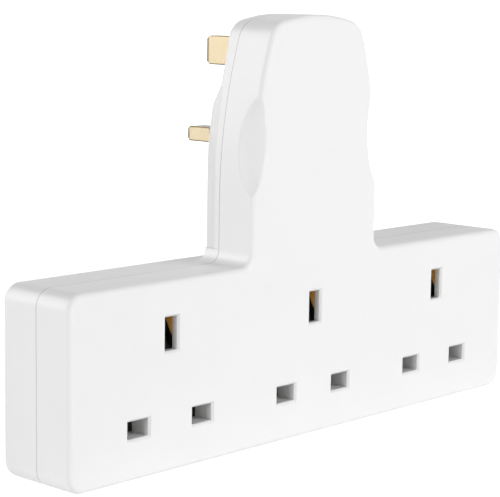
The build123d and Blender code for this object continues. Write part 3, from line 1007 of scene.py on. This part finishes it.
@dataclass(frozen=True)
class SoftBox:
    """A square lamp that points at the adapter.

    Attributes:
        name: The lamp's name.
        place: Where it stands, in metres.
        size: Length of its sides, in metres.
        power: Its power, in watts.
        gloss: Whether it shows as a highlight alone; the other lamps give all but the highlights.
    """

    name: str
    place: Point
    size: float
    power: float
    gloss: bool = False

    def hang(self, target: Vector) -> None:
        """Make the lamp.

        Args:
            target: What it points at.
        """
        lamp = bpy.data.lights.new(self.name, "AREA")
        lamp.shape = "SQUARE"
        lamp.size = self.size
        lamp.energy = self.power
        holder = bpy.data.objects.new(self.name, lamp)
        holder.visible_glossy = self.gloss
        holder.visible_diffuse = not self.gloss
        holder.location = self.place
        aim = target - Vector(self.place)
        holder.rotation_euler = aim.to_track_quat("-Z", "Y").to_euler()
        bpy.context.scene.collection.objects.link(holder)


@dataclass
class Studio:
    """Pale floor, white surroundings, soft lamps and the photograph's camera.

    Attributes:
        floor_span: Length of the floor's sides, in metres.
        floor_white: The floor's colour.
        floor_roughness: The floor's roughness.
        floor_lift: How much the floor brightens for the eye alone, close to the adapter.
        lift_near: How far out that brightness reaches, in metres.
        lift_far: Where the floor has become white, in metres.
        ambient: Strength of the light from all round.
        boxes: The lamps.
        target: What the lamps point at.
        focal_px: The camera's focal length, in pixels of the photograph.
        turn: How far the camera stands round to the right of the front, in degrees.
        tilt: How far it looks down, in degrees.
        roll: How far it leans, in degrees.
        place: Where it stands, in metres.
        near_clip: How close to it a surface may come, in metres.
    """

    floor_span: float = 60.0
    floor_white: Colour = (0.9, 0.9, 0.9)
    floor_roughness: float = 0.9
    floor_lift: float = 0.62
    lift_near: float = 0.2
    lift_far: float = 0.7
    ambient: float = 0.24
    boxes: tuple[SoftBox, ...] = (
        SoftBox("front_lamp", (2.0, -3.46, 1.05), 2.0, 117.0),
        SoftBox("side_lamp", (-3.98, -0.35, 1.05), 2.0, 91.0),
        SoftBox("rear_lamp", (1.7, 3.64, 0.5), 2.0, 62.0),
        SoftBox("edge_lamp", (-1.14, 1.63, 0.98), 1.6, 22.0, gloss=True),
    )
    target: Point = (0.0, 0.0, 0.05)
    focal_px: float = 1735.4
    turn: float = -47.249
    tilt: float = 8.501
    roll: float = 0.832
    place: Point = (-0.34948, -0.31911, 0.11924)
    near_clip: float = 0.01

    def build(self) -> None:
        """Set up everything round the adapter."""
        bpy.context.scene.view_settings.view_transform = "Standard"
        self._floor()
        self._world()
        for box in self.boxes:
            box.hang(Vector(self.target))
        self._camera()

    def _floor(self) -> None:
        """Lay the pale floor."""
        sheet = bmesh.new()
        bmesh.ops.create_grid(sheet, x_segments=1, y_segments=1, size=self.floor_span / 2)
        mesh = bpy.data.meshes.new("floor")
        sheet.to_mesh(mesh)
        sheet.free()
        floor = bpy.data.objects.new("floor", mesh)
        bpy.context.scene.collection.objects.link(floor)
        shader = Shader("floor_pale")
        point = shader.node("ShaderNodeTexCoord", output="Object")
        reach = shader.node(
            "ShaderNodeVectorMath", {"operation": "LENGTH"}, {0: point}, output="Value"
        )
        lift = shader.ramp(reach, [(self.lift_near, self.floor_lift), (self.lift_far, 1.0)])
        shader.finish(
            Base_Color=(*self.floor_white, 1.0),
            Roughness=self.floor_roughness,
            Emission_Color=lift * shader.seen(),
            Emission_Strength=1.0,
        )
        mesh.materials.append(shader.material)

    def _world(self) -> None:
        """Surround the adapter with white that lights it evenly."""
        world = bpy.data.worlds.new("white_room")
        world.use_nodes = True
        bpy.context.scene.world = world
        room = NodeGraph(world.node_tree)
        strength = room.seen() * (1.0 - self.ambient) + self.ambient
        white = {"Color": (1.0, 1.0, 1.0, 1.0), "Strength": strength}
        surface = room.node("ShaderNodeBackground", inputs=white)
        room.add("ShaderNodeOutputWorld", inputs={"Surface": surface})

    def _camera(self) -> None:
        """Stand the camera where the photograph was taken from."""
        turn, tilt, roll = (math.radians(angle) for angle in (self.turn, self.tilt, self.roll))
        back = Vector(
            (math.sin(turn) * math.cos(tilt), -math.cos(turn) * math.cos(tilt), math.sin(tilt))
        )
        level = Vector((math.cos(turn), math.sin(turn), 0.0))
        upright = back.cross(level)
        right = level * math.cos(roll) + upright * math.sin(roll)
        up = upright * math.cos(roll) - level * math.sin(roll)
        lens = bpy.data.cameras.new("camera")
        lens.sensor_fit = "HORIZONTAL"
        lens.sensor_width = SENSOR_WIDTH
        lens.lens = self.focal_px * SENSOR_WIDTH / IMAGE_WIDTH
        lens.clip_start = self.near_clip
        camera = bpy.data.objects.new("camera", lens)
        pose = Matrix((right, up, back)).transposed().to_4x4()
        pose.translation = self.place
        camera.matrix_world = pose
        bpy.context.scene.collection.objects.link(camera)
        bpy.context.scene.camera = camera


def main() -> None:
    """Dress the adapter and set up the studio."""
    logging.basicConfig(level=logging.INFO, format="%(name)s: %(message)s")
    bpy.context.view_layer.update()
    for assembly in (Housing(), Plug(), FuseUnit(), Wiring(), Sockets()):
        assembly.dress()
    Studio().build()


if __name__ == "__main__":
    main()
